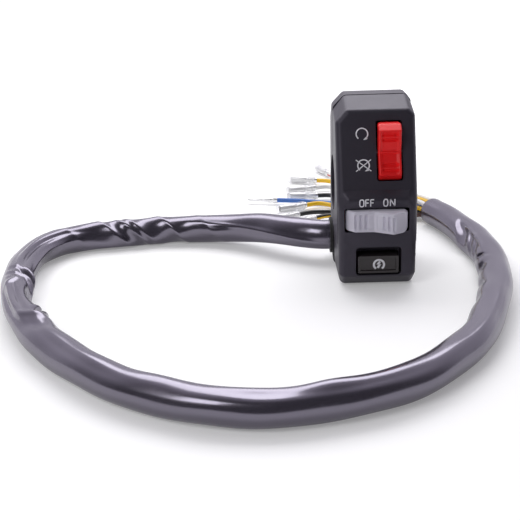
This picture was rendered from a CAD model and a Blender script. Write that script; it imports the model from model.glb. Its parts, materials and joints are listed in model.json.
"""Handlebar switch cluster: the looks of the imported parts, in metres and in their own frame."""

import json
import math

import bmesh
import bpy
import numpy as np
from mathutils import Matrix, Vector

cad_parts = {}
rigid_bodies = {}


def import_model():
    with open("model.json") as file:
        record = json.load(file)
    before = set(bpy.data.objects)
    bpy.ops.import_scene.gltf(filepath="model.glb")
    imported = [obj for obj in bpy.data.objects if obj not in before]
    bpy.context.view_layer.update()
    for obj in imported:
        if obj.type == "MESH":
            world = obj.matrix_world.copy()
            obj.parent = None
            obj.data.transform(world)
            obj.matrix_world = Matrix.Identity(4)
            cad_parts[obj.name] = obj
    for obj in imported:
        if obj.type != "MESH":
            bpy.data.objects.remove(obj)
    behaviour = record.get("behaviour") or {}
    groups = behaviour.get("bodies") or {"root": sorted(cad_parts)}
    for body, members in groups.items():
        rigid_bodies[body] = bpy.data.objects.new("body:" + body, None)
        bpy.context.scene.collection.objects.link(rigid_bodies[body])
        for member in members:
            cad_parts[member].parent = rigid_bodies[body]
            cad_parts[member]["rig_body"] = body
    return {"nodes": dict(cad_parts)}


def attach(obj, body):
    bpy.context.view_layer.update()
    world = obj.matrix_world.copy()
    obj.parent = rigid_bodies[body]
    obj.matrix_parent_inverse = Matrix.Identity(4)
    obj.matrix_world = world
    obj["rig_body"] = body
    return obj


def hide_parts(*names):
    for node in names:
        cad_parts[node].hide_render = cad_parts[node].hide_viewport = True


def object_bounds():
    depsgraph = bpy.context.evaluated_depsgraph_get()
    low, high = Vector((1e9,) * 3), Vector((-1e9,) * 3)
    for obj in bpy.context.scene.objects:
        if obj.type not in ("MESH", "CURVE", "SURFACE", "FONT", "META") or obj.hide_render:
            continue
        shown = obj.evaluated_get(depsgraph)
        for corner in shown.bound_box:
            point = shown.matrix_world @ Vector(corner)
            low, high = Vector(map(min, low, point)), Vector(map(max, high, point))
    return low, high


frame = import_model()
cad_low, cad_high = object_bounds()
MM = 0.001


# The bench: a white board in a room that is pale at the back, lit by one broad softbox behind the
# part and a fill card at the front left, and seen from where the photograph was taken. Only the
# stage: the board lies level with the housing's foot.
BENCH_HALF = 4.0
EYE = np.array([-40.507, -390.622, 112.540]) * MM
PITCH, YAW, ROLL = (math.radians(a) for a in (20.4, -0.8, -1.9))
LENS_MM = 69.23
SOFTBOX_PLACE, SOFTBOX_TURN = (-0.05, 0.28, 0.41), (-34, 0, 0)
SOFTBOX_SIZE = (0.60, 0.32)
SOFTBOX_WATTS = 2.2
FILL_PLACE, FILL_TURN = (-0.36, -0.42, 0.42), (51.7, 0, -42.7)
FILL_SIZE = (0.30, 0.24)
FILL_WATTS = 1.15
ROOM_FRONT, ROOM_BACK = (0.11, 0.107, 0.118, 1), (0.94, 0.91, 1.0, 1)
ROOM_TURN = (-0.35, 0.65)
GLOW_NEAR, GLOW_FAR = 0.21, 0.72
GLOW_REACH = (0.05, 0.75)
BOARD_TONE, BOARD_SHADE = (0.80, 0.80, 0.80, 1), (0.84, 0.84, 0.84, 1)


def put(tree, kind, attrs=None, **sockets):
    """Adds a shader node. Each keyword names an input, linked from a socket or set to a value."""
    made = tree.nodes.new(kind)
    for name, value in (attrs or {}).items():
        setattr(made, name, value)
    for name, value in sockets.items():
        target = made.inputs[name.replace("_", " ")]
        if isinstance(value, bpy.types.NodeSocket):
            tree.links.new(value, target)
        else:
            target.default_value = value
    return made


def maths(tree, operation, *values):
    """A Math node's result; each value is a socket or a number."""
    made = tree.nodes.new("ShaderNodeMath")
    made.operation = operation
    for target, value in zip(made.inputs, values):
        if isinstance(value, bpy.types.NodeSocket):
            tree.links.new(value, target)
        else:
            target.default_value = value
    return made.outputs[0]


def tint(tree, share, first, second):
    """The colour that lies that share of the way from the first to the second."""
    made = tree.nodes.new("ShaderNodeMix")
    made.data_type = "RGBA"
    for index, value in ((0, share), (6, first), (7, second)):
        if isinstance(value, bpy.types.NodeSocket):
            tree.links.new(value, made.inputs[index])
        else:
            made.inputs[index].default_value = value
    return made.outputs[2]


def shell_mesh(name, shells):
    """One mesh from several grids of points, each (points, rows come round, columns come round).

    Points (i, j), (i+1, j), (i+1, j+1), (i, j+1) of a grid make a face. Where only the columns
    come round, the first and last rows are closed as end faces. UV is (column share, row share).
    """
    points, faces, uvs = [], [], []
    start = 0
    for grid, rows_round, columns_round in shells:
        m, n = grid.shape[:2]
        i = np.arange(m if rows_round else m - 1)[:, None]
        j = np.arange(n if columns_round else n - 1)[None, :]
        corners = [(i, j), (i + 1, j), (i + 1, j + 1), (i, j + 1)]
        quads = np.stack([(a % m) * n + b % n for a, b in corners], -1).reshape(-1, 4) + start
        shares = [np.broadcast_arrays(b / n, a / max(m - 1, 1)) for a, b in corners]
        uvs.append(np.stack([np.stack(s, -1) for s in shares], -2).reshape(-1, 2))
        faces += quads.tolist()
        if columns_round and not rows_round:
            ring = np.arange(n) + start
            faces += [ring.tolist(), (ring[::-1] + (m - 1) * n).tolist()]
            uvs.append(np.zeros((2 * n, 2)))
        points.append(grid.reshape(-1, 3))
        start += m * n
    mesh = bpy.data.meshes.new(name)
    mesh.from_pydata(np.concatenate(points), [], faces)
    mesh.uv_layers.new(name="UVMap").data.foreach_set("uv", np.concatenate(uvs).ravel())
    skin = bmesh.new()
    skin.from_mesh(mesh)
    bmesh.ops.recalc_face_normals(skin, faces=skin.faces)
    skin.to_mesh(mesh)
    skin.free()
    return mesh


def show(name, mesh, material, crease=None):
    """Links a mesh as a smooth-shaded object at the origin, with edges over the crease angle kept sharp."""
    made = bpy.data.objects.new(name, mesh)
    bpy.context.scene.collection.objects.link(made)
    mesh.materials.clear()
    mesh.materials.append(material)
    mesh.shade_smooth()
    if crease:
        mesh.set_sharp_from_angle(angle=math.radians(crease))
    return made


def bench_paint():
    """White board. Seen directly or mirrored it glows a little, so it reads white and keeps its shadows."""
    paint = bpy.data.materials.new("bench_paint")
    paint.use_nodes = True
    tree = paint.node_tree
    tree.nodes.clear()
    rays = put(tree, "ShaderNodeLightPath").outputs
    seen = maths(tree, "ADD", rays["Is Camera Ray"], rays["Is Glossy Ray"])
    seen = maths(tree, "ADD", seen, rays["Is Transmission Ray"])
    seen = maths(tree, "MINIMUM", seen, 1.0)
    coords = put(tree, "ShaderNodeTexCoord").outputs["Object"]
    cloud = put(tree, "ShaderNodeTexNoise", Vector=coords, Scale=3.0).outputs[0]
    tone = tint(tree, cloud, BOARD_TONE, BOARD_SHADE)
    board = put(tree, "ShaderNodeBsdfDiffuse", Color=tone).outputs[0]
    away = put(tree, "ShaderNodeVectorMath", {"operation": "LENGTH"}, Vector=coords).outputs["Value"]
    rise = put(tree, "ShaderNodeMapRange", {"interpolation_type": "SMOOTHSTEP"}, Value=away,
               From_Min=GLOW_REACH[0], From_Max=GLOW_REACH[1], To_Min=GLOW_NEAR, To_Max=GLOW_FAR).outputs[0]
    glow = put(tree, "ShaderNodeEmission", Strength=maths(tree, "MULTIPLY", seen, rise)).outputs[0]
    both = tree.nodes.new("ShaderNodeAddShader")
    tree.links.new(board, both.inputs[0])
    tree.links.new(glow, both.inputs[1])
    out = put(tree, "ShaderNodeOutputMaterial")
    tree.links.new(both.outputs[0], out.inputs["Surface"])
    return paint


edge = np.linspace(-BENCH_HALF, BENCH_HALF, 9)
bench_grid = np.stack(np.broadcast_arrays(edge[:, None], edge[None, :], np.float64(cad_low.z)), -1)
bench = show("bench", shell_mesh("bench", [(bench_grid, False, False)]), bench_paint())
if bench.data.polygons[0].normal.z < 0:
    bench.data.flip_normals()

world = bpy.data.worlds.new("pale_room")
bpy.context.scene.world = world
world.use_nodes = True
room = world.node_tree
room.nodes.clear()
facing = put(room, "ShaderNodeSeparateXYZ", Vector=put(room, "ShaderNodeTexCoord").outputs["Generated"])
share = put(room, "ShaderNodeMapRange", {"interpolation_type": "SMOOTHSTEP"}, Value=facing.outputs["Y"],
            From_Min=ROOM_TURN[0], From_Max=ROOM_TURN[1])
tone = tint(room, share.outputs[0], ROOM_FRONT, ROOM_BACK)
glow = put(room, "ShaderNodeBackground", Color=tone)
room.links.new(glow.outputs[0], put(room, "ShaderNodeOutputWorld").inputs["Surface"])

for title, place, turn, size, watts in (
        ("softbox", SOFTBOX_PLACE, SOFTBOX_TURN, SOFTBOX_SIZE, SOFTBOX_WATTS),
        ("fill_card", FILL_PLACE, FILL_TURN, FILL_SIZE, FILL_WATTS)):
    lamp = bpy.data.lights.new(title, "AREA")
    lamp.shape = "RECTANGLE"
    lamp.size, lamp.size_y = size
    lamp.energy = watts
    box = bpy.data.objects.new(title, lamp)
    box.location = place
    box.rotation_euler = [math.radians(a) for a in turn]
    bpy.context.scene.collection.objects.link(box)

ahead = np.array([
    math.sin(YAW) * math.cos(PITCH),
    math.cos(YAW) * math.cos(PITCH),
    -math.sin(PITCH),
])
level = np.array([math.cos(YAW), -math.sin(YAW), 0])
above = np.cross(level, ahead)
right = math.cos(ROLL) * level + math.sin(ROLL) * above
upright = math.cos(ROLL) * above - math.sin(ROLL) * level
camera = bpy.data.objects.new("camera", bpy.data.cameras.new("camera"))
camera.data.lens = LENS_MM
camera.data.sensor_width = 36
camera.data.clip_start = 0.01
camera.matrix_world = Matrix([[*row, place] for row, place in zip(np.stack([right, upright, -ahead], 1), EYE)]
                             + [[0, 0, 0, 1]])
bpy.context.scene.collection.objects.link(camera)
bpy.context.scene.camera = camera
bpy.context.scene.view_settings.view_transform = "Standard"


# The front half of the housing: one moulding of black filled nylon with a fine spark-eroded
# texture. It holds both rockers and the button, and the clamp screws draw it onto the bar.
HOUSING_TONE, HOUSING_SHADE = (0.026, 0.0235, 0.031, 1), (0.021, 0.019, 0.026, 1)
HOUSING_BEVEL, BEVEL_SEGMENTS = 0.6 * MM, 3
SHEEN_TINT = (0.88, 0.82, 1.0, 1)
WELD_DIGITS, CAD_CREASE = 7, 28


def grain_group():
    """Moulded skin on Object coordinates: the colour drifts between two tones in broad clouds,
    and roughness and height follow a fine grain. Sizes are in metres."""
    group = bpy.data.node_groups.new("moulded_grain", "ShaderNodeTree")
    for name in ("Tone", "Shade"):
        group.interface.new_socket(name, in_out="INPUT", socket_type="NodeSocketColor")
    for name in ("Cloud", "Grain", "Base", "Spread"):
        group.interface.new_socket(name, in_out="INPUT", socket_type="NodeSocketFloat")
    for name, kind in {"Color": "Color", "Roughness": "Float", "Height": "Float"}.items():
        group.interface.new_socket(name, in_out="OUTPUT", socket_type="NodeSocket" + kind)
    given = group.nodes.new("NodeGroupInput").outputs
    result = group.nodes.new("NodeGroupOutput").inputs
    coords = put(group, "ShaderNodeTexCoord").outputs["Object"]
    broad = maths(group, "DIVIDE", 1.0, given["Cloud"])
    fine = maths(group, "DIVIDE", 1.0, given["Grain"])
    cloud = put(group, "ShaderNodeTexNoise", Vector=coords, Scale=broad, Detail=3.0).outputs[0]
    grain = put(group, "ShaderNodeTexNoise", Vector=coords, Scale=fine, Detail=2.0).outputs[0]
    share = put(group, "ShaderNodeMapRange", Value=cloud, From_Min=0.3, From_Max=0.7).outputs[0]
    group.links.new(tint(group, share, given["Tone"], given["Shade"]), result["Color"])
    both = maths(group, "ADD", maths(group, "SUBTRACT", grain, 0.5), maths(group, "SUBTRACT", cloud, 0.5))
    rough = maths(group, "MULTIPLY_ADD", both, given["Spread"], given["Base"])
    group.links.new(rough, result["Roughness"])
    group.links.new(grain, result["Height"])
    return group


grain_skin = grain_group()


def moulded(name, tone, shade, cloud, grain, rough, spread, relief, **shader):
    """A material whose colour, roughness and relief come from the grain group; sizes in millimetres."""
    made = bpy.data.materials.new(name)
    made.use_nodes = True
    tree = made.node_tree
    tree.nodes.clear()
    skin = put(tree, "ShaderNodeGroup", {"node_tree": grain_skin}, Tone=tone, Shade=shade, Cloud=cloud * MM,
               Grain=grain * MM, Base=rough, Spread=spread).outputs
    bump = put(tree, "ShaderNodeBump", Height=skin["Height"], Distance=relief * MM, Strength=1.0)
    surface = put(tree, "ShaderNodeBsdfPrincipled", Base_Color=skin["Color"], Roughness=skin["Roughness"],
                  Normal=bump.outputs[0], **shader)
    tree.links.new(surface.outputs[0], put(tree, "ShaderNodeOutputMaterial").inputs["Surface"])
    return made


def dress(name, title, material, bevel):
    """A merged, smooth copy of a CAD part that stands for it, its sharp edges eased by a fine bevel."""
    source = frame["nodes"][name]
    co = np.empty(len(source.data.vertices) * 3)
    source.data.vertices.foreach_get("co", co)
    source.data.calc_loop_triangles()
    corners = np.empty(len(source.data.loop_triangles) * 3, np.int64)
    source.data.loop_triangles.foreach_get("vertices", corners)
    welded = np.round(co.reshape(-1, 3), WELD_DIGITS)
    kept, merged = np.unique(welded, axis=0, return_inverse=True)
    tri = merged.reshape(-1)[corners].reshape(-1, 3)
    tri = tri[(tri[:, 0] != tri[:, 1]) & (tri[:, 1] != tri[:, 2]) & (tri[:, 2] != tri[:, 0])]
    mesh = bpy.data.meshes.new(title)
    mesh.from_pydata(kept, [], tri.tolist())
    made = show(title, mesh, material, CAD_CREASE)
    ease = made.modifiers.new("eased_edges", "BEVEL")
    ease.width, ease.segments = bevel, BEVEL_SEGMENTS
    ease.limit_method, ease.angle_limit = "ANGLE", math.radians(CAD_CREASE)
    ease.use_clamp_overlap = True
    even = made.modifiers.new("even_shading", "WEIGHTED_NORMAL")
    even.keep_sharp = True
    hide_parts(name)
    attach(made, source["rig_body"])
    return made


housing_plastic = moulded("housing_plastic_skin", HOUSING_TONE, HOUSING_SHADE, 14, 0.35, 0.46, 0.10, 0.010,
                          IOR=1.54, Specular_Tint=SHEEN_TINT)
front_shell = dress("front_housing", "front_shell", housing_plastic, HOUSING_BEVEL)


# The engine-stop rocker: red through-coloured plastic with a sunk, ribbed thumb panel on each
# lobe. It snaps over on two steel pins behind the window, the upper lobe standing out.
PIVOT_DEPTH = 2.4
RIM, RIM_BLEND, EDGE_ROUND, SIDE_DRAFT = 1.3, 0.65, 0.6, 0.05
GROOVE_DEPTH, GROOVE_HALF = 0.80, 0.95
OUTLINE_RINGS, OUTLINE_MEAN = 241, 9
HUB_R, HUB_INSET = (2.0, 2.4, 2.4, 2.0), 0.4
STEM = ((2.4, 2.3), (4.9, 2.3), (5.2, 2.1), (5.2, 1.25), (3.2, 1.25))
KILL_PLACE, KILL_W, KILL_LEN = (5.0, -18.6504, 17.2), 9.2, 22.4
KILL_CREST, KILL_VALLEY, KILL_LOBES = 0.74, 1.4, (4.2, 4.2)
KILL_BOW, KILL_SINK, KILL_CORNER, KILL_GROOVES = 1.0, 0.5, 1.3, (0.57, 0.82)
FACE_LEAN, HALF_THROW = math.radians(20), math.radians(12)


def soft_step(x, low, high):
    """0 below low, 1 above high, with level ends between."""
    t = np.clip((x - low) / (high - low), 0, 1)
    return t * t * (3 - 2 * t)


def rocker_shells(length, width, crest, valley, lobes, bow, sink, corner, grooves):
    """Skin of a rocker in millimetres in its own frame: x across, y inwards, z along.

    Rings stand along a side outline that climbs each end and crosses the lobe to the valley, where it rises
    as share of the way ^ bow; a running mean rounds its corners. A ring climbs the side, turns over the rim
    and steps down to the panel: height = outline + edge rounding + panel x (sink + grooves). Hub and stem
    are turned about x and y.
    """
    r = length / 2
    sweep = np.linspace(0, math.asin((PIVOT_DEPTH + 0.9) / r), 9)
    end = np.stack([r * np.cos(sweep), PIVOT_DEPTH - r * np.sin(sweep)], 1)[::-1]
    t = np.linspace(0, 1, 13)
    slope, other = (np.stack([crest * r * t, -valley - (top - valley) * t ** bow], 1) for top in lobes[::-1])
    outline = np.concatenate([np.concatenate([other, end])[:0:-1] * (-1, 1), slope, end])
    run = np.concatenate([[0], np.cumsum(np.hypot(*np.diff(outline, axis=0).T))])
    even = np.linspace(0, run[-1], OUTLINE_RINGS)
    z, y = (np.interp(even, run, outline[:, k]) for k in (0, 1))
    window = np.ones(OUTLINE_MEAN) / OUTLINE_MEAN
    z, y = (np.pad(a, OUTLINE_MEAN // 2, mode="reflect", reflect_type="odd") for a in (z, y))
    z, y = (np.convolve(a, window, "valid") for a in (z, y))
    y = np.minimum(y, PIVOT_DEPTH - 0.05)
    lobe = np.hypot(*np.diff(slope, axis=0).T).sum()
    out = np.abs(even - run[-1] / 2)
    sunk = sink * soft_step(out, 0.2, 0.7) * (1 - soft_step(out, lobe - 0.35, lobe + 0.2))
    for g in grooves:
        across = np.clip((out - g * lobe) / GROOVE_HALF, -1, 1)
        sunk = sunk + GROOVE_DEPTH * np.cos(math.pi / 2 * across) ** 2
    side = width / 2 - SIDE_DRAFT * (PIVOT_DEPTH - y)
    over = np.maximum(np.abs(z) - (r - corner), 0)
    side = side - (corner - np.sqrt(np.maximum(corner ** 2 - over ** 2, 0)))
    turn = np.linspace(0, math.pi / 2, 5)
    border = RIM + np.linspace(-RIM_BLEND, RIM_BLEND, 7)
    inward = np.concatenate([[0, 0], EDGE_ROUND * (1 - np.cos(turn[1:])), border, [RIM + 0.9]])
    drop = np.concatenate([[99, EDGE_ROUND], EDGE_ROUND * (1 - np.sin(turn[1:])), np.zeros(8)])
    panel = np.concatenate([np.zeros(6), soft_step(np.linspace(0, 1, 7), 0, 1), [1]])
    inward, drop, panel = (np.concatenate([a, a[::-1]]) for a in (inward, drop, panel))
    sign = np.repeat([-1, 1], len(inward) // 2)
    x = sign * (side[:, None] - inward)
    depth = np.minimum(y[:, None] + drop + panel * sunk[:, None], PIVOT_DEPTH)
    skin = np.stack([x, depth, np.broadcast_to(z[:, None], x.shape)], -1)
    around = np.linspace(0, 2 * math.pi, 32, endpoint=False)
    hub_x = np.array([-1, -1, 1, 1]) * (width / 2 - HUB_INSET)
    hub_r = np.array(HUB_R)
    hub = np.stack(np.broadcast_arrays(hub_x[:, None], PIVOT_DEPTH + hub_r[:, None] * np.cos(around),
                                       hub_r[:, None] * np.sin(around)), -1)
    stem_y, stem_r = np.array(STEM).T
    stem = np.stack(np.broadcast_arrays(stem_r[:, None] * np.cos(around), stem_y[:, None],
                                        stem_r[:, None] * np.sin(around)), -1)
    return [(skin, False, True), (hub, False, True), (stem, False, True)]


def turned_x(points, angle, y0=0.0):
    """Points turned about the X axis through (y0, 0) by the right-hand rule."""
    x, y, z = points[..., 0], points[..., 1] - y0, points[..., 2]
    c, s = math.cos(angle), math.sin(angle)
    return np.stack([x, y0 + c * y - s * z, s * y + c * z], -1)


def in_kill_window(points):
    """From the face of the stop switch to the part's frame."""
    return (turned_x(points, -FACE_LEAN) + KILL_PLACE) * MM


red_plastic = moulded("red_plastic_skin", (0.92, 0.014, 0.016, 1), (0.84, 0.012, 0.014, 1),
                      9, 0.5, 0.36, 0.10, 0.004, IOR=1.34)
kill_shells = [(in_kill_window(turned_x(p, HALF_THROW, PIVOT_DEPTH)), a, b) for p, a, b in rocker_shells(
    KILL_LEN, KILL_W, KILL_CREST, KILL_VALLEY, KILL_LOBES, KILL_BOW, KILL_SINK, KILL_CORNER,
    KILL_GROOVES)]
kill_cap = show("kill_rocker_cap", shell_mesh("kill_rocker_cap", kill_shells), red_plastic, 40)
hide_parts("kill_rocker")
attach(kill_cap, "kill_rocker")


# The light rocker: the same moulding in grey, lying across the thumb boss, its right lobe out. That
# lobe's crest stands 1 mm above the left one's.
LIGHT_PLACE, LIGHT_H, LIGHT_LEN = (-0.4, -27.0, -7.8), 8.8, 24.0
LIGHT_CREST, LIGHT_VALLEY, LIGHT_LOBES = 0.62, 2.6, (4.2, 5.2)
LIGHT_BOW, LIGHT_SINK, LIGHT_CORNER, LIGHT_GROOVES = 1.0, 0.16, 1.8, (0.46, 0.72, 0.98)


def in_light_window(points):
    """From the face of the light switch to the part's frame: its length lies along X."""
    return (np.stack([points[..., 2], points[..., 1], -points[..., 0]], -1) + LIGHT_PLACE) * MM


grey_plastic = moulded("grey_plastic_skin", (0.66, 0.64, 0.73, 1), (0.61, 0.59, 0.68, 1),
                       9, 0.5, 0.32, 0.10, 0.004, IOR=1.5)
light_shells = [(in_light_window(turned_x(p, HALF_THROW, PIVOT_DEPTH)), a, b) for p, a, b in rocker_shells(
    LIGHT_LEN, LIGHT_H, LIGHT_CREST, LIGHT_VALLEY, LIGHT_LOBES, LIGHT_BOW, LIGHT_SINK,
    LIGHT_CORNER, LIGHT_GROOVES)]
light_cap = show("light_rocker_cap", shell_mesh("light_rocker_cap", light_shells), grey_plastic, 40)
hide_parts("light_rocker")
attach(light_cap, "light_rocker")


# The works behind each rocker: steel pins, a nylon plunger on a coil spring, a bronze blade that
# tips on brass rivets, and the laminated board that two small screws hold to the housing.
# Each row of works: tone, shade, roughness, metal share
WORKS = {
    "pivot_pins": ((0.10, 0.10, 0.11, 1), (0.08, 0.08, 0.09, 1), 0.42, 1.0),
    "plunger": ((0.80, 0.78, 0.70, 1), (0.74, 0.72, 0.64, 1), 0.45, 0.0),
    "detent_spring": ((0.55, 0.55, 0.58, 1), (0.48, 0.48, 0.5, 1), 0.3, 1.0),
    "contact_blade": ((0.70, 0.38, 0.2, 1), (0.6, 0.33, 0.17, 1), 0.28, 1.0),
    "contacts": ((0.78, 0.56, 0.22, 1), (0.7, 0.5, 0.2, 1), 0.28, 1.0),
    "base": ((0.30, 0.15, 0.07, 1), (0.24, 0.12, 0.055, 1), 0.55, 0.0),
    "base_screws": ((0.66, 0.66, 0.64, 1), (0.58, 0.58, 0.56, 1), 0.3, 1.0),
}


def finish_part(name, material):
    """Gives a CAD part that stays as it is its material."""
    for place in frame["nodes"][name].material_slots:
        place.material = material


works_skin = {}
for work, (tone, shade, rough, metal) in WORKS.items():
    works_skin[work] = moulded(work + "_skin", tone, shade, 3, 0.25, rough, 0.12, 0.004, Metallic=metal)
    for switch in ("kill", "light"):
        finish_part(switch + "_" + work, works_skin[work])


# The start button: a black cap with a sunk panel in a deep thumb well. A bronze bridge under its
# flange closes two brass rivets on a board, and a coil spring returns it.
BUTTON_BEVEL = 0.14 * MM
BUTTON_WORKS = {
    "start_bridge": "contact_blade", "start_return_spring": "detent_spring", "start_contacts": "contacts",
    "start_base": "base", "start_base_screws": "base_screws",
}
button_plastic = moulded("button_plastic_skin", (0.030, 0.024, 0.026, 1), (0.024, 0.019, 0.021, 1),
                         8, 0.5, 0.36, 0.1, 0.006)
button_cap = dress("start_button", "start_cap", button_plastic, BUTTON_BEVEL)
for name, work in BUTTON_WORKS.items():
    finish_part(name, works_skin[work])


# The signs: pad-printed white ink. Run and stop arcs stand beside the stop rocker, OFF and ON over
# the light rocker, and the start sign on the button.
INK_RISE, ARC_POINTS = 0.05, 40
FACE_TOP, FACE_TOP_DEPTH = 31.9, -13.3
BOSS_DEPTH = -27.0
RUN_SIZE, RUN_STROKE, ARROW_AT = 4.4, 0.46, -62
RUN_PLACE, STOP_PLACE = (-5.3, 23.4), (-5.0, 12.1)
CROSS_HALF, CROSS_STROKE = (2.9, 2.2), 0.38
LETTER_HEIGHT, LETTER_FOOT, LETTER_STROKE = 2.7, -2.3, 0.44
LETTERS = [("O", 1.55, -6.2), ("F", 1.3, -4.1), ("F", 1.3, -2.2), ("O", 1.55, 2.9), ("N", 1.7, 5.5)]
BUTTON_PANEL_DEPTH, BUTTON_SIGN = BOSS_DEPTH + 0.6 + 0.7, (0.7, -26.5)
START_RADIUS, START_STROKE, BOLT_STROKE = 1.98, 0.80, 0.95


def stroke(line, width, closed=False):
    """A flat line of ink as a grid (point, corner): half the width to each side of the line, from
    just under the face to just over it. Coordinates are across, up and out."""
    line = np.asarray(line, float)
    ahead = np.gradient(line, axis=0)
    if closed:
        ahead = np.roll(line, -1, 0) - np.roll(line, 1, 0)
    side = np.stack([-ahead[:, 1], ahead[:, 0]], 1)
    side = side / np.linalg.norm(side, axis=1, keepdims=True) * width / 2
    low, high = np.full((len(line), 1), -INK_RISE), np.full((len(line), 1), INK_RISE)
    rails = [(line + side, low), (line + side, high), (line - side, high), (line - side, low)]
    return np.stack([np.concatenate(rail, 1) for rail in rails], 1), closed, True


def arc(radius, start, end):
    """Points on a circle about the origin, from one angle to the other in degrees."""
    a = np.radians(np.linspace(start, end, ARC_POINTS))
    return np.stack([radius * np.cos(a), radius * np.sin(a)], 1)


def run_sign(size, width):
    """An open circle with a gap at its foot and an arrow head on its right end."""
    tip = math.radians(ARROW_AT)
    tail = np.array([math.cos(tip), math.sin(tip)]) * size / 2
    way = np.array([math.sin(tip), -math.cos(tip)])
    grow = np.linspace(0, 1, 7)[:, None]
    head = stroke(tail - way * 0.9 + way * 1.5 * grow, width)
    widths = np.linspace(2.4, 0.15, 7)[:, None]
    middle = (head[0][:, :1] + head[0][:, 2:3]) / 2
    spread = head[0] - middle
    spread[..., :2] *= widths[:, None]
    spread[..., 2] = head[0][..., 2]
    middle[..., 2] = 0
    return [stroke(arc(size / 2, -52, 230), width), (middle + spread, False, True)]


def letter(kind, height, width):
    """Strokes of a plain capital O, F or N, centred across, standing on the line."""
    w, h = width / 2, height
    if kind == "O":
        corner = np.linspace(0, 2 * math.pi, 48, endpoint=False)
        c, s = np.cos(corner), np.sin(corner)
        oval = np.stack([w * np.sign(c) * np.abs(c) ** 0.7, h / 2 + h / 2 * np.sign(s) * np.abs(s) ** 0.7], 1)
        return [(oval, True)]
    if kind == "F":
        bar = [(-w, h * 0.53), (w * 0.7, h * 0.53)]
        return [([(-w, 0), (-w, h)], False), ([(-w, h), (w, h)], False), (bar, False)]
    return [([(-w, 0), (-w, h)], False), ([(-w, h), (w, 0)], False), ([(w, 0), (w, h)], False)]


def on_plane(shells, place, across, up, out):
    """Shells from (across, up, out) on a face to the part's frame, in metres."""
    axes = np.array([across, up, out], float)
    return [((points @ axes + np.asarray(place)) * MM, a, b) for points, a, b in shells]


def on_upper_face(shells, x, z):
    """Shells on the leaning upper face, at a place across and a height."""
    y = FACE_TOP_DEPTH - (FACE_TOP - z) * math.tan(FACE_LEAN)
    c, s = math.cos(FACE_LEAN), math.sin(FACE_LEAN)
    return on_plane(shells, (x, y, z), (1, 0, 0), (0, s, c), (0, -c, s))


ink = moulded("white_ink", (0.88, 0.88, 0.92, 1), (0.80, 0.80, 0.84, 1), 1.2, 0.12, 0.5, 0.15, 0.004)
signs = on_upper_face(run_sign(RUN_SIZE, RUN_STROKE), *RUN_PLACE)
w, h = CROSS_HALF
cross = [stroke([(-w, h), (w, -h)], CROSS_STROKE), stroke([(-w, -h), (w, h)], CROSS_STROKE)]
signs += on_upper_face(run_sign(RUN_SIZE, RUN_STROKE) + cross, *STOP_PLACE)
for kind, width, x in LETTERS:
    lines = letter(kind, LETTER_HEIGHT, width)
    strokes = [stroke(line, LETTER_STROKE, closed=closed) for line, closed in lines]
    signs += on_plane(strokes, (x, BOSS_DEPTH, LETTER_FOOT), (1, 0, 0), (0, 0, 1), (0, -1, 0))
print_marks = show("printed_signs", shell_mesh("printed_signs", signs), ink, 40)
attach(print_marks, "housing")

bolt = stroke([(0.45, 1.25), (-0.5, 0.1), (0.4, 0.15), (-0.5, -1.3)], BOLT_STROKE)
start_sign = [stroke(arc(START_RADIUS, -55, 235), START_STROKE), bolt]
button_spot = (BUTTON_SIGN[0], BUTTON_PANEL_DEPTH, BUTTON_SIGN[1])
start_sign = on_plane(start_sign, button_spot, (1, 0, 0), (0, 0, 1), (0, -1, 0))
start_print = show("start_sign", shell_mesh("start_sign", start_sign), ink, 40)
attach(start_print, "start_button")


# The loom sleeve: thin glossy black vinyl tube drawn over the wires, limp enough to fold, twist and
# kink where the loom turns. It leaves the housing's left side and lies in one loop on the bench.
SLEEVE_D, SLEEVE_WALL, SLEEVE_HEIGHT = 12.0, 0.8, -29.6
SLEEVE_STEP, MOUTH_RINGS, LIP_OUT = 0.62, 19, 0.3
CALM_START, CALM_END = (14, 30), (552, 570)
SLEEVE_ROUTE = [
    (-8, 7, 4.8), (-13.5, 7, 4.8), (-19.5, 7, 4.8), (-26.5, 9.6, 4.7), (-35.5, 15.5, 4.2),
    (-45.5, 22.5, 3), (-56.5, 28.5, 1.5), (-68.5, 32.3, 0.4), (-82, 34, 0), (-95.5, 32.5, 0),
    (-108.5, 30.2, 0), (-120.8, 27.6, 0), (-131.8, 21.8, 0), (-139.3, 11, 0), (-142.5, -3.5, 0),
    (-142, -18.5, 0), (-139, -35.5, 0), (-132.5, -56, 0), (-122, -76.5, 0), (-109, -95, 0),
    (-96, -109, 0), (-80.5, -121, 0), (-64, -128.8, 0), (-49, -132, 0), (-34, -131.5, 0),
    (-19, -127.5, 0), (-4.5, -121, 0), (7, -112.5, 0), (18.5, -99.5, 0), (28, -84.5, 0), (36, -64.5, 0),
    (42.5, -42, 0), (46, -20, 0), (46.3, -10, 0), (45.6, 0, 0), (44.4, 9.5, 0), (42.6, 19.5, 0),
    (40.4, 29, 0), (37.8, 38, 0), (33.5, 50, 0),
]
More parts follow.
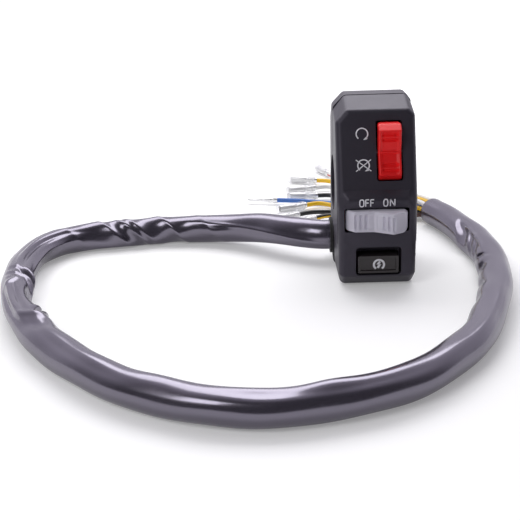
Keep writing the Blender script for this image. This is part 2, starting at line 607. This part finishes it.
# Folds across the sleeve: place along, angle, lean in mm per degree, width, depth, spread in degrees
FOLDS = [
    (111.0, 235, -0.05, 8, -1.4, 36), (55.5, 205, 0, 14, 0.7, 30), (74.5, 120, -0.06, 6, -0.7, 45),
    (189.0, 160, 0.1, 1.9, 2.8, 45), (185.3, 160, 0.1, 1.6, -1.1, 40), (192.8, 160, 0.1, 1.6, -1.1, 40),
    (194.0, 95, -0.06, 1.8, -0.6, 45), (207.5, 168, 0, 9, 3.3, 42), (224.0, 160, -0.08, 2.0, 2.4, 42),
    (220.2, 165, -0.08, 1.7, -1.0, 40), (228.2, 160, -0.08, 2.2, -1.0, 40), (231.0, 92, 0.12, 2.4, -0.9, 42),
    (238.0, 70, 0.1, 5.0, 0.9, 45), (334.8, 80, 0, 16, 0.9, 26), (301.6, 115, 0, 9, -0.5, 30),
    (358.0, 105, 0, 8, -0.5, 28), (498.0, 150, 0.1, 1.7, 0.9, 30), (487.0, 160, 0, 4, 1.1, 32),
    (470.0, 165, 0.1, 3, 0.9, 30), (452.0, 168, 0, 5, 0.8, 32), (425, 172, 0, 7, 0.7, 30),
]
# Creases across a twisted run: places along, hollows between them, angle, lean in mm per degree, spread
CREASES = [
    ((66, 83.5, 97.6, 101.2, 109.5, 128), (0.9, 1.7, 0.5, 1.5, 0.9), 158, -0.085, 92),
    ((183, 189, 194), (0.6, 0.6), 120, 0.08, 60),
    ((504, 511, 519, 533), (0.6, 0.8, 1.4), 158, -0.12, 44),
]
# Pleats along the sleeve: place along, angle, turn in degrees per mm, width in degrees, depth, reach
PLEATS = [
    (38, 170, -1.15, 9, -0.6, 28), (158, 120, -0.35, 9, 1.2, 24), (160, 165, 0, 8, -0.8, 20),
    (158, 98, -0.35, 10, -0.6, 24), (212, 58, 0, 8, -0.9, 14), (212, 82, 0, 9, 1.1, 14),
    (214, 34, 0.1, 12, 0.9, 16), (516, 118, -0.5, 7, -0.9, 14), (264.8, 62, -0.35, 16, 0.5, 32),
    (373.9, 60, -0.15, 16, 0.4, 30),
    (430.8, 95, 0.1, 18, 0.6, 28), (440, 62, 0.1, 12, -0.4, 34),
]
# Flats where the sleeve is pressed oval: place along, angle, turn in degrees per mm, squeeze, reach
FLATS = [
    (36, 148, -0.5, 0.13, 26), (108, 80, 0, -0.07, 22), (156, 75, 0.3, 0.08, 18),
    (248, 48, -0.4, 0.08, 24), (480, 120, 0.3, 0.09, 30), (525, 140, -0.9, 0.10, 16),
]


def smooth_line(points, step):
    """The smooth curve through hand-set points at even steps: between two points a cubic whose slopes run
    from each point's neighbour before to its neighbour after."""
    p = np.asarray(points, float)
    t = np.concatenate([[0], np.cumsum(np.linalg.norm(np.diff(p, axis=0), axis=1))])
    slope = np.gradient(p, t, axis=0)
    fine = np.linspace(0, t[-1], int(t[-1] / step) * 6)
    k = np.clip(np.searchsorted(t, fine, "right") - 1, 0, len(t) - 2)
    h = (t[k + 1] - t[k])[:, None]
    u = (fine - t[k])[:, None] / h
    line = ((1 + 2 * u) * (1 - u) ** 2 * p[k] + u * (1 - u) ** 2 * h * slope[k]
            + u * u * (3 - 2 * u) * p[k + 1] + u * u * (u - 1) * h * slope[k + 1])
    run = np.concatenate([[0], np.cumsum(np.linalg.norm(np.diff(line, axis=0), axis=1))])
    even = np.linspace(0, run[-1], int(round(run[-1] / step)) + 1)
    return np.stack([np.interp(even, run, line[:, i]) for i in range(3)], 1), even


def along(line):
    """Unit vectors at each point of a lying line: ahead, level to the right, and up."""
    ahead = np.gradient(line, axis=0)
    ahead /= np.linalg.norm(ahead, axis=1, keepdims=True)
    right = np.cross(ahead, (0, 0, 1))
    right /= np.linalg.norm(right, axis=1, keepdims=True)
    return ahead, right, np.cross(right, ahead)


def tube(line, radius, around):
    """Rings about a line: centre + radius x (cos x right + sin x up); radius may vary by ring and angle."""
    ahead, right, up = along(line)
    radius = np.broadcast_to(radius, (len(line), len(around)))[..., None]
    spoke = np.cos(around)[None, :, None] * right[:, None] + np.sin(around)[None, :, None] * up[:, None]
    return line[:, None] + radius * spoke


def sleeve_radius(s, a):
    """Radius of the sleeve by place along (mm) and angle (degrees): a round tube less bell-shaped folds
    that lean across it, hollows 4 t (1 - t) between creases, pleats that run along it, twisting oval flats,
    and a slow waver. On its underside it stays within the round tube, so that it lies on the bench."""
    s, a = s[:, None], a[None, :]

    def off(angle, middle):
        return (angle - middle + 180) % 360 - 180

    r = np.full(np.broadcast_shapes(s.shape, a.shape), SLEEVE_D / 2)
    for place, angle, lean, width, depth, spread in FOLDS:
        d = off(a, angle)
        r = r - depth * np.exp(-((s - place - lean * d) / width) ** 2 - (d / spread) ** 2)
    for places, depths, angle, lean, spread in CREASES:
        d = off(a, angle)
        u = s - lean * d
        k = np.clip(np.searchsorted(places, u) - 1, 0, len(depths) - 1)
        t = np.clip((u - np.take(places, k)) / np.take(np.diff(places), k), 0, 1)
        r = r - np.take(depths, k) * 4 * t * (1 - t) * np.exp(-((d / spread) ** 4))
    for place, angle, turn, width, depth, reach in PLEATS:
        d = off(a, angle + turn * (s - place))
        r = r - depth * np.exp(-(d / width) ** 2 - ((s - place) / reach) ** 2)
    for place, angle, turn, squeeze, reach in FLATS:
        oval = np.cos(2 * np.radians(a - angle - turn * (s - place)))
        r = r - SLEEVE_D / 2 * squeeze * oval * np.exp(-((s - place) / reach) ** 2)
    free = soft_step(s, *CALM_START) * (1 - soft_step(s, *CALM_END))
    waver = 0.12 * np.sin(s / 7.3 + np.radians(a)) + 0.10 * np.sin(s / 4.1 - 2 * np.radians(a))
    r = r + waver * free
    low = soft_step(-np.sin(np.radians(a)), 0.5, 0.95)
    return np.where(low > 0, np.minimum(r, SLEEVE_D / 2 + (1 - low)), r)


sleeve_route = [(x, y, z + SLEEVE_HEIGHT) for x, y, z in SLEEVE_ROUTE]
sleeve_line, sleeve_run = smooth_line(sleeve_route, SLEEVE_STEP)
sleeve_angles = np.linspace(0, 360, 72, endpoint=False)
outer = tube(sleeve_line, sleeve_radius(sleeve_run, sleeve_angles), np.radians(sleeve_angles))
lip = tube(sleeve_line, SLEEVE_D / 2 - SLEEVE_WALL / 2, np.radians(sleeve_angles))[-1:]
lip = lip + LIP_OUT * along(sleeve_line)[0][-1]
inner = tube(sleeve_line, SLEEVE_D / 2 - SLEEVE_WALL, np.radians(sleeve_angles))[:-1 - MOUTH_RINGS:-1]
sleeve_skin = np.concatenate([outer, lip, inner]) * MM
vinyl = moulded("sleeve_vinyl", (0.016, 0.0135, 0.020, 1), (0.021, 0.018, 0.026, 1),
                22, 1.6, 0.22, 0.08, 0.0006, IOR=2.4, Specular_Tint=SHEEN_TINT)
sleeve = show("vinyl_sleeve", shell_mesh("vinyl_sleeve", [(sleeve_skin, False, True)]), vinyl)
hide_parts("loom_sleeve")
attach(sleeve, "housing")


# The loom's way in: a rubber grommet in the parting line, a nylon tie behind it that stops the
# sleeve pulling out, and the vinyl leads from the contact rivets to the sleeve.
SMALL_BEVEL = 0.12 * MM
LEADS = {
    "kill_leads": ((0.60, 0.02, 0.02, 1), (0.52, 0.018, 0.018, 1)),
    "light_leads": ((0.045, 0.12, 0.42, 1), (0.04, 0.1, 0.36, 1)),
    "start_leads": ((0.80, 0.42, 0.015, 1), (0.72, 0.37, 0.012, 1)),
}
rubber = moulded("grommet_rubber_skin", (0.02, 0.02, 0.021, 1), (0.015, 0.015, 0.016, 1),
                 5, 0.3, 0.62, 0.1, 0.01)
grommet = dress("loom_grommet", "sleeve_grommet", rubber, SMALL_BEVEL)
nylon = moulded("tie_nylon_skin", (0.74, 0.73, 0.68, 1), (0.68, 0.67, 0.62, 1), 4, 0.3, 0.42, 0.1, 0.005)
finish_part("loom_tie", nylon)
for name, (tone, shade) in LEADS.items():
    finish_part(name, moulded(name + "_vinyl", tone, shade, 6, 0.4, 0.34, 0.08, 0.004))


# The loose wires: stranded copper in coloured vinyl, fanned out of the sleeve's end behind the
# housing. Each ends in a tinned bullet terminal, and all but one wear a soft clear cover.
WIRE_D, WIRE_HEIGHT, TERMINAL_HEIGHT = 2.2, -34.5, -33.4
WIRE_PITCH, WIRE_TUCK, WIRE_LEAVE = 2.9, 6.0, 5
STRAIGHT_END, CRIMP_IN = 6, 0.6
STRIPE_AT, STRIPE_HALF = 0.55, 0.085
WHITE, YELLOW, BLACK = (0.84, 0.84, 0.83), (0.93, 0.56, 0.012), (0.018, 0.018, 0.02)
BLUE, RED, BROWN = (0.05, 0.17, 0.55), (0.55, 0.02, 0.015), (0.10, 0.034, 0.026)
# Name, column and row in the sleeve's end, way points over the bench, foot, heading, colour, stripe
WIRES = [
    ("white_red", 1, 1, [(22, 76, 6.1), (13, 94, 1.4), (2, 113.5, 0.3)], (-9, 132), 113, WHITE, RED),
    ("yellow_upper", 0, 1, [(18, 74, 6.1), (8, 91, 1.2), (-2.5, 108, 0.3)], (-16, 120), 163, YELLOW, YELLOW),
    ("white", -1, 1, [(15, 71.5, 6.1), (4, 87, 1.2), (-4, 100, 0.3)], (-17.5, 106.5), 194, WHITE, WHITE),
    ("black", 1, 0, [(13.5, 71, 3.2), (-2, 83.5, 0.8)], (-17, 92.5), 178, BLACK, BLACK),
    ("blue", 0, 0, [(11, 67.5, 3.2), (-10, 81, 0.3)], (-37.5, 86.5), 170, BLUE, BLUE),
    ("yellow_lower", -1, 0, [(10, 64, 3.2), (-8, 76, 0.3)], (-23.5, 77), 202, YELLOW, YELLOW),
    ("black_lower", 1, -1, [(22, 63, 1), (8, 64, 0.4), (-10.5, 67.5, 0.2)], (-27.5, 62.5), 205, BLACK, BLACK),
    ("black_yellow", 0, -1, [(22, 59.2, 1), (8, 59.6, 0.4), (-7, 61.5, 0.2)], (-20, 56), 211, BLACK, YELLOW),
    ("brown", -1, -1, [(22, 55, 1), (11.5, 54.4, 0.4), (-1, 53, 0)], (-12, 48.5), 218, BROWN, BROWN),
]


def wire_vinyl(name, colour, stripe):
    """Vinyl insulation: a stripe along the wire by its UV, over the grain group's tone and relief."""
    made = moulded(name, (*colour, 1), (*[c * 0.9 for c in colour], 1), 5, 0.35, 0.33, 0.08, 0.004)
    tree = made.node_tree
    skin = next(n for n in tree.nodes if n.type == "GROUP")
    surface = next(n for n in tree.nodes if n.type == "BSDF_PRINCIPLED")
    place = put(tree, "ShaderNodeTexCoord").outputs["UV"]
    turn = put(tree, "ShaderNodeSeparateXYZ", Vector=place).outputs["X"]
    off = maths(tree, "ABSOLUTE", maths(tree, "SUBTRACT", turn, STRIPE_AT))
    band = maths(tree, "LESS_THAN", off, STRIPE_HALF)
    paint = tint(tree, band, skin.outputs["Color"], (*stripe, 1))
    tree.links.new(paint, surface.inputs["Base Color"])
    return made


def turned(stations, radii, around):
    """A turned form about +X: rings of each radius at each station; radii may vary with the angle."""
    radii = np.broadcast_to(np.asarray(radii, float).reshape(len(stations), -1), (len(stations), len(around)))
    x = np.broadcast_to(np.asarray(stations, float)[:, None], radii.shape)
    return np.stack([x, radii * np.cos(around), radii * np.sin(around)], -1)


def crimped(around, pin):
    """A bullet terminal from its wire end: two crimps with a cleft where their wings meet, a neck, then an
    open rolled barrel with a seam, or a solid pin."""
    cleft = np.exp(-(((around - math.pi / 2) / 0.30) ** 2))
    flat = 1 - 0.10 * np.cos(2 * around)
    wing = [1.30 * flat - 0.35 * cleft, 1.48 * flat - 0.42 * cleft, 1.48 * flat - 0.42 * cleft, 1.18 * flat]
    core = [1.12 * flat, 1.26 * flat - 0.4 * cleft, 1.26 * flat - 0.4 * cleft, 1.0 + 0 * around]
    xs = [0, 0.25, 2.1, 2.4, 2.75, 2.95, 4.5, 4.8]
    rows = wing + core
    if pin:
        xs += [5.6, 5.8, 13.6, 14.3, 14.8, 15.0]
        rows += [np.full_like(around, r) for r in (1.0, 0.9, 0.9, 0.8, 0.55, 0.2)]
    else:
        seam = 0.16 * np.exp(-(((around - math.pi / 2) / 0.10) ** 2))
        barrel = [(5.6, 1.0), (6.2, 1.66), (6.5, 1.75), (13.6, 1.75), (13.9, 1.70), (14.0, 1.55),
                  (13.9, 1.38)]
        xs += [x for x, _ in barrel] + [13.6, 7.6]
        rows += [r - seam for _, r in barrel] + [np.full_like(around, 1.35)] * 2
    return turned(xs, np.stack(rows), around)


def clear_cover(around):
    """A soft clear tube over a terminal: waisted at the crimp, belled at its mouth, with a rolled lip."""
    xs = [1.0, 1.15, 3.0, 5.0, 6.6, 13.6, 15.2, 15.5, 15.35, 13.4, 6.8, 5.2, 3.2, 1.25]
    rs = [1.95, 2.1, 2.12, 1.98, 2.12, 2.14, 2.2, 2.08, 1.92, 1.86, 1.86, 1.74, 1.86, 1.86]
    return turned(xs, np.array(rs)[:, None], around)


def at_foot(points, foot, heading):
    """From a terminal's own frame, lying along +X, to its place on the bench."""
    c, s = math.cos(math.radians(heading)), math.sin(math.radians(heading))
    x, y, z = points[..., 0], points[..., 1], points[..., 2]
    return np.stack([foot[0] + c * x - s * y, foot[1] + s * x + c * y, z + TERMINAL_HEIGHT], -1) * MM


tin = moulded("tin_plate", (0.90, 0.90, 0.90, 1), (0.82, 0.82, 0.82, 1),
              2, 0.2, 0.34, 0.14, 0.005, Metallic=1.0)
clear = moulded("clear_vinyl_skin", (0.96, 0.96, 0.97, 1), (0.92, 0.92, 0.94, 1),
                3, 0.4, 0.16, 0.1, 0.006, IOR=1.45, Alpha=0.24)
sleeve_tip = sleeve_line[-1]
tip_out = np.array([*(np.subtract(SLEEVE_ROUTE[-1], SLEEVE_ROUTE[-2])[:2]), 0])
tip_out = tip_out / np.linalg.norm(tip_out)
tip_side = np.array([tip_out[1], -tip_out[0], 0])
wire_ring = np.linspace(0, 2 * math.pi, 16, endpoint=False)
turn_ring = np.linspace(0, 2 * math.pi, 40, endpoint=False)
for name, column, row, ways, foot, heading, colour, stripe in WIRES:
    begin = sleeve_tip + WIRE_PITCH * (column * tip_side + row * np.array((0, 0, 1)))
    way = np.array([math.cos(math.radians(heading)), math.sin(math.radians(heading)), 0])
    end = np.array([*foot, TERMINAL_HEIGHT])
    route = [begin - WIRE_TUCK * tip_out, begin, begin + WIRE_LEAVE * tip_out]
    route += [(x, y, z + WIRE_HEIGHT) for x, y, z in ways]
    route += [end - STRAIGHT_END * way, end + CRIMP_IN * way]
    line, run = smooth_line(route, 1.0)
    skin = tube(line, WIRE_D / 2, wire_ring) * MM
    wire = show("loose_wire_" + name, shell_mesh("loose_wire_" + name, [(skin, False, True)]),
                wire_vinyl("wire_vinyl_" + name, colour, stripe), 60)
    pin = name == "blue"
    metal = at_foot(crimped(turn_ring, pin), foot, heading)
    terminal = show("terminal_" + name, shell_mesh("terminal_" + name, [(metal, False, True)]), tin, 40)
    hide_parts("pin_terminal" if pin else "socket_terminals")
    pieces = [terminal]
    if not pin:
        film = at_foot(clear_cover(turn_ring), foot, heading)
        cover = show("cover_" + name, shell_mesh("cover_" + name, [(film, True, True)]), clear)
        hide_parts("terminal_sleeves")
        pieces.append(cover)
    for piece in pieces + [wire]:
        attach(piece, "housing")
    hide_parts("wire_" + name)


# The rear half of the housing: the same filled nylon, drawn onto the bar by two zinc-plated
# screws that turn into brass inserts in the front half.
rear_shell = dress("rear_housing", "rear_shell", housing_plastic, HOUSING_BEVEL)
zinc = moulded("zinc_plate", (0.62, 0.63, 0.62, 1), (0.54, 0.55, 0.54, 1),
               3, 0.2, 0.3, 0.16, 0.006, Metallic=1.0)
screws = dress("clamp_screws", "clamp_screw_pair", zinc, SMALL_BEVEL)
finish_part("clamp_inserts", works_skin["contacts"])
